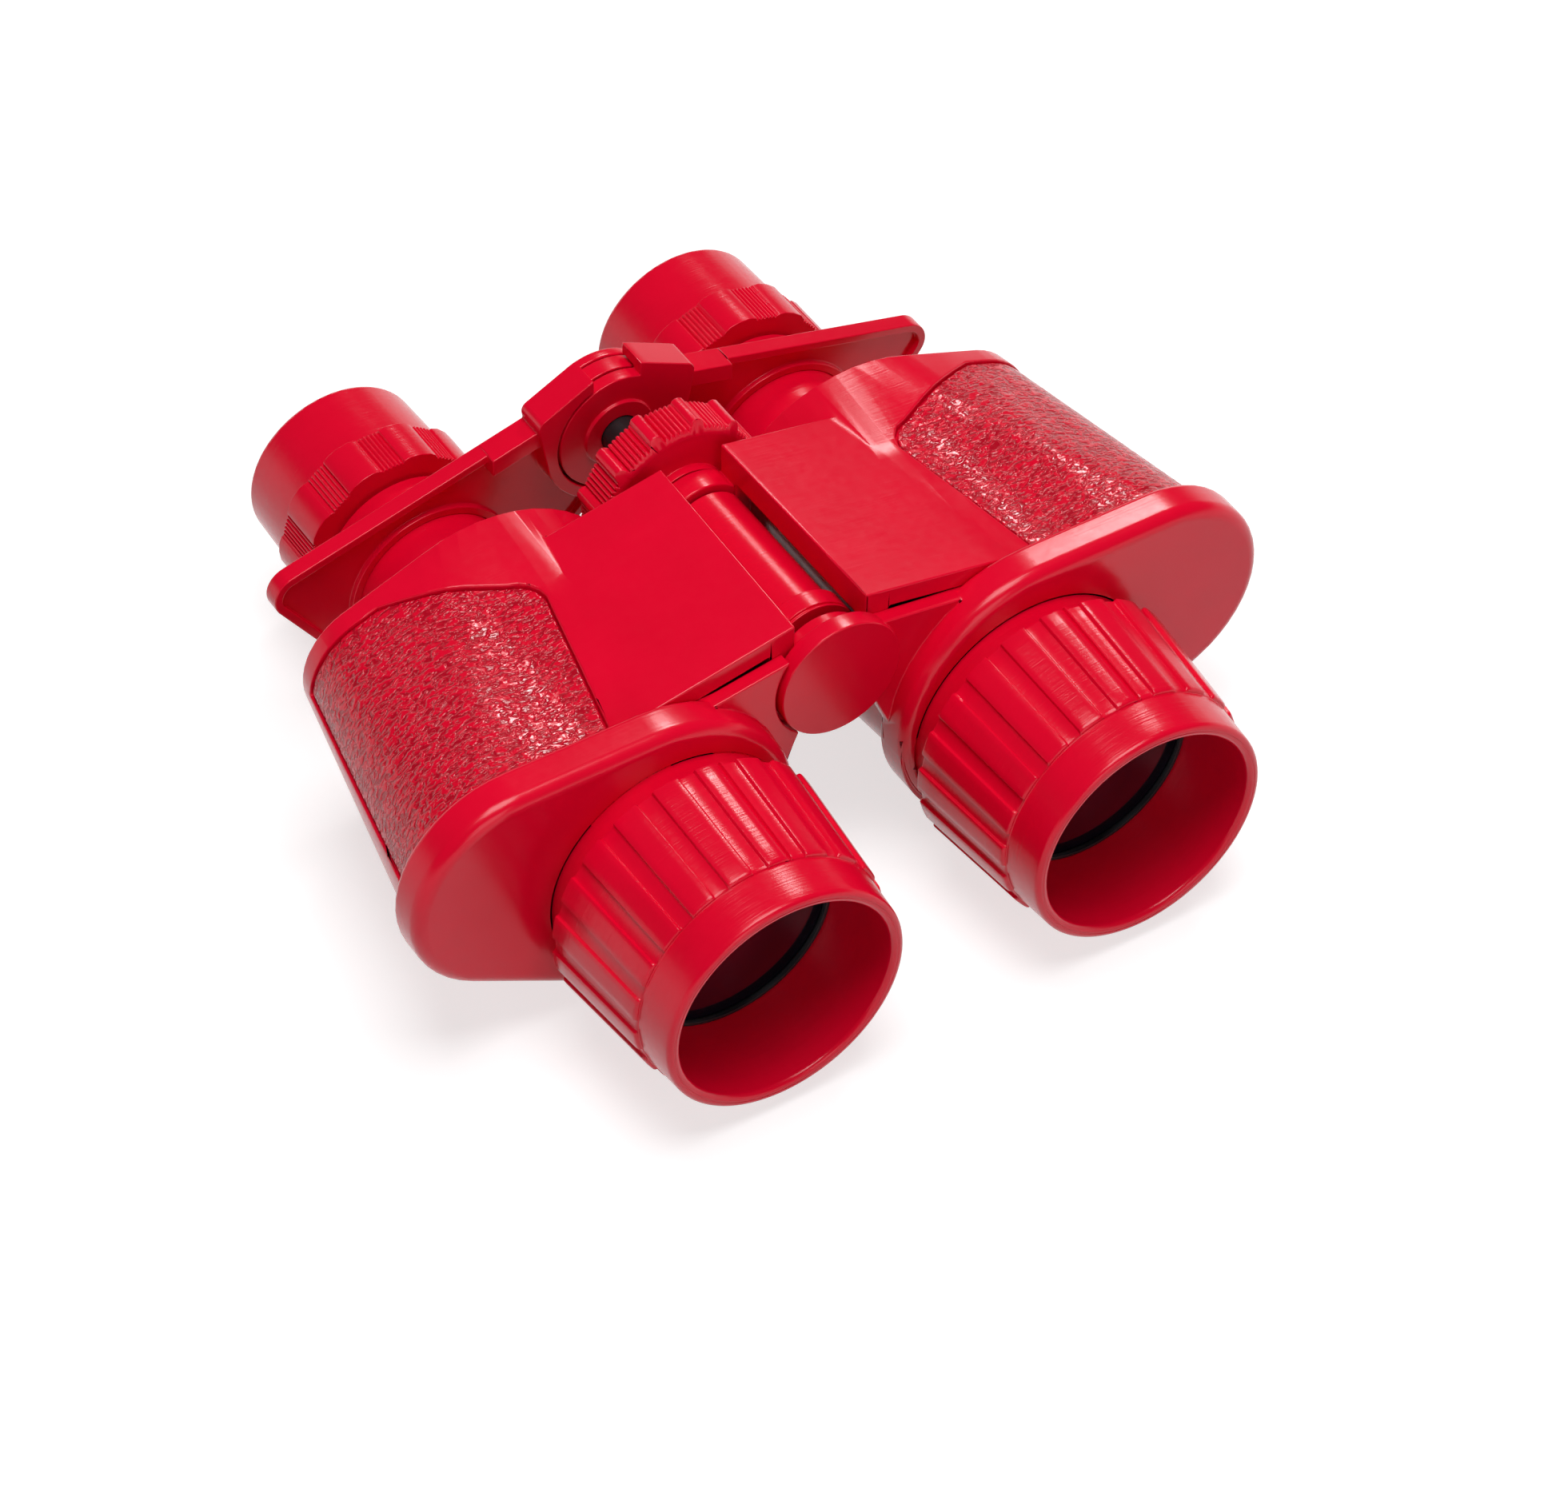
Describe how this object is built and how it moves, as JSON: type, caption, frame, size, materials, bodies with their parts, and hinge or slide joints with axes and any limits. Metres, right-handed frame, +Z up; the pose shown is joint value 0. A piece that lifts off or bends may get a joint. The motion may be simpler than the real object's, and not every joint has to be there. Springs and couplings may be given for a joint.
{
  "type": "toy binoculars",
  "caption": "Folding toy binoculars in moulded plastic: ribbed objective hoods, leather-grain grip panels, centre hinge, a focusing wheel that slides an eyepiece bridge, and turning eyepieces.",
  "frame": {"origin": "centre of the outline at the resting plane, under the hoods' ribs and the housings' tails", "axes": "+X across to the right half as seen from the objective end, +Y from the objectives to the eyepieces, +Z up"},
  "size_m": [0.15, 0.1348, 0.0566],
  "materials": {
    "red_plastic": "glossy moulded red plastic with faint drawing streaks",
    "grip_plastic": "red plastic with a leather grain",
    "black_plastic": "plain black plastic",
    "lens": "clear moulded lens"
  },
  "bodies": {
    "right_half": {"right_shell": "red_plastic", "right_cover": "red_plastic", "right_grip": "grip_plastic", "right_hood": "red_plastic", "right_objective": "lens", "right_lens_ring": "black_plastic", "right_barrel": "black_plastic", "hinge_axle": "black_plastic"},
    "left_half": {"left_shell": "red_plastic", "left_cover": "red_plastic", "left_grip": "grip_plastic", "left_hood": "red_plastic", "left_objective": "lens", "left_lens_ring": "black_plastic", "left_barrel": "black_plastic", "hinge_tube": "red_plastic"},
    "focus_drive": {"focus_wheel": "red_plastic", "focus_screw": "black_plastic"},
    "right_bridge": {"right_arm": "red_plastic", "hub_cap": "red_plastic", "right_eye_tube": "red_plastic"},
    "left_bridge": {"left_arm": "red_plastic", "left_eye_tube": "red_plastic"},
    "right_eyepiece": {"right_eye_ring": "red_plastic", "right_eyecup": "red_plastic", "right_eye_lens": "lens"},
    "left_eyepiece": {"left_eye_ring": "red_plastic", "left_eyecup": "red_plastic", "left_eye_lens": "lens"}
  },
  "joints": [
    {"name": "fold", "type": "hinge", "parent": "right_half", "child": "left_half", "pos_m": [0, 0, 0.042], "axis": [0, -1, 0], "range_deg": [-18, 22]},
    {"name": "focus_turn", "type": "hinge", "parent": "right_half", "child": "focus_drive", "pos_m": [0, 0, 0.042], "axis": [0, -1, 0], "range_deg": [-350, 350]},
    {"name": "right_focus_slide", "type": "slide", "parent": "right_half", "child": "right_bridge", "axis": [0, 1, 0], "range_m": [-0.0024, 0.0024]},
    {"name": "left_focus_slide", "type": "slide", "parent": "left_half", "child": "left_bridge", "axis": [0, 1, 0], "range_m": [-0.0025, 0.0025]},
    {"name": "right_dioptre_turn", "type": "hinge", "parent": "right_bridge", "child": "right_eyepiece", "pos_m": [0.032, 0.05, 0.0233], "axis": [0, 1, 0], "range_deg": [-60, 60]},
    {"name": "left_dioptre_turn", "type": "hinge", "parent": "left_bridge", "child": "left_eyepiece", "pos_m": [-0.032, 0.05, 0.0233], "axis": [0, 1, 0], "range_deg": [-60, 60]}
  ],
  "couplings": [
    {"joint": "focus_turn", "follows": "right_focus_slide", "rad_per_m": 2513.3},
    {"joint": "left_focus_slide", "follows": "right_focus_slide", "ratio": 1}
  ]
}
